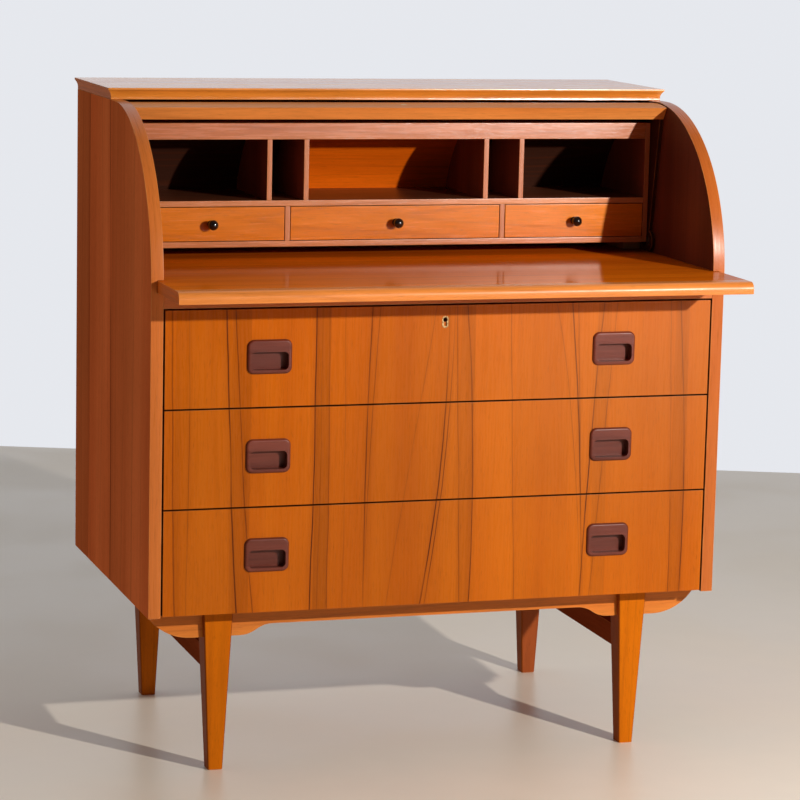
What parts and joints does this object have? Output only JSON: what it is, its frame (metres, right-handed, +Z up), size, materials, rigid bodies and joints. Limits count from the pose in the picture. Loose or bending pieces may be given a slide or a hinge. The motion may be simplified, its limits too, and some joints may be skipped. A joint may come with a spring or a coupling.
{
  "type": "cylinder desk",
  "caption": "Teak cylinder desk: a quarter-round lid turns up as the writing slab pulls out, over pigeonholes, small drawers, large drawers with recessed pulls and tapered legs.",
  "frame": {"origin": "on the floor, at the middle of the desk's box with its slab pulled out and its lid open", "axes": "+Z up, +Y from the slab's nose towards the back, +X to the right of someone seated at it"},
  "size_m": [0.91, 0.662, 1.012],
  "materials": {
    "case_teak": "satin lacquered teak veneer",
    "drawer_teak": "satin lacquered teak veneer, upright grain",
    "slab_teak": "gloss lacquered teak veneer",
    "leg_teak": "satin solid teak",
    "lid_teak": "satin teak",
    "unit_teak": "satin dark teak",
    "drawer_wood": "matt light wood",
    "pull_wood": "satin dark red-brown wood",
    "black_knob": "gloss black",
    "steel": "plain steel",
    "liner_metal": "pale brass"
  },
  "bodies": {
    "case": {"back_panel": "case_teak", "bottom_board": "case_teak", "drawer_runners": "drawer_wood", "front_apron": "leg_teak", "front_left_leg": "leg_teak", "front_rail": "case_teak", "front_right_leg": "leg_teak", "left_gable": "case_teak", "left_stretcher": "leg_teak", "lid_pivot_pins": "steel", "rear_apron": "leg_teak", "rear_left_leg": "leg_teak", "rear_right_leg": "leg_teak", "right_gable": "case_teak", "right_stretcher": "leg_teak", "top_board": "case_teak", "unit_back": "unit_teak", "unit_bearers": "drawer_wood", "unit_bottom": "unit_teak", "unit_fascia": "unit_teak", "unit_left_dividers": "unit_teak", "unit_left_side": "unit_teak", "unit_partitions": "unit_teak", "unit_right_dividers": "unit_teak", "unit_right_side": "unit_teak", "unit_shelf": "unit_teak", "unit_top": "unit_teak"},
    "slab": {"writing_slab": "slab_teak"},
    "lid": {"lid_panel": "lid_teak", "lid_rail": "lid_teak", "lid_left_cheek": "lid_teak", "lid_right_cheek": "lid_teak", "lid_bushes": "steel", "lid_keyhole_liner": "liner_metal"},
    "drawer_1": {"drawer_1_bottom": "drawer_wood", "drawer_1_box": "drawer_wood", "drawer_1_front": "drawer_teak", "drawer_1_pulls": "pull_wood", "lock_case": "steel", "keyhole_liner": "liner_metal"},
    "lock_bolt": {"lock_bolt": "steel"},
    "drawer_2": {"drawer_2_bottom": "drawer_wood", "drawer_2_box": "drawer_wood", "drawer_2_front": "drawer_teak", "drawer_2_pulls": "pull_wood"},
    "drawer_3": {"drawer_3_bottom": "drawer_wood", "drawer_3_box": "drawer_wood", "drawer_3_front": "drawer_teak", "drawer_3_pulls": "pull_wood"},
    "left_small_drawer": {"left_small_drawer_box": "drawer_wood", "left_small_drawer_front": "unit_teak", "left_small_drawer_knob": "black_knob"},
    "middle_small_drawer": {"middle_small_drawer_box": "drawer_wood", "middle_small_drawer_front": "unit_teak", "middle_small_drawer_knob": "black_knob"},
    "right_small_drawer": {"right_small_drawer_box": "drawer_wood", "right_small_drawer_front": "unit_teak", "right_small_drawer_knob": "black_knob"}
  },
  "joints": [
    {"name": "slab_slide", "type": "slide", "parent": "case", "child": "slab", "axis": [0, 1, 0], "range_m": [0, 0.117]},
    {"name": "lid_turn", "type": "hinge", "parent": "case", "child": "lid", "pos_m": [0, 0.051, 0.771], "axis": [1, 0, 0], "range_deg": [0, 83]},
    {"name": "drawer_1_slide", "type": "slide", "parent": "case", "child": "drawer_1", "axis": [0, -1, 0], "range_m": [0, 0.3]},
    {"name": "drawer_2_slide", "type": "slide", "parent": "case", "child": "drawer_2", "axis": [0, -1, 0], "range_m": [0, 0.3]},
    {"name": "drawer_3_slide", "type": "slide", "parent": "case", "child": "drawer_3", "axis": [0, -1, 0], "range_m": [0, 0.3]},
    {"name": "left_small_drawer_slide", "type": "slide", "parent": "case", "child": "left_small_drawer", "axis": [0, -1, 0], "range_m": [0, 0.12]},
    {"name": "middle_small_drawer_slide", "type": "slide", "parent": "case", "child": "middle_small_drawer", "axis": [0, -1, 0], "range_m": [0, 0.12]},
    {"name": "right_small_drawer_slide", "type": "slide", "parent": "case", "child": "right_small_drawer", "axis": [0, -1, 0], "range_m": [0, 0.12]},
    {"name": "lock_bolt_throw", "type": "slide", "parent": "drawer_1", "child": "lock_bolt", "axis": [0, 0, 1], "range_m": [0, 0.008]}
  ],
  "couplings": [
    {"joint": "lid_turn", "follows": "slab_slide", "rad_per_m": 12.381}
  ]
}
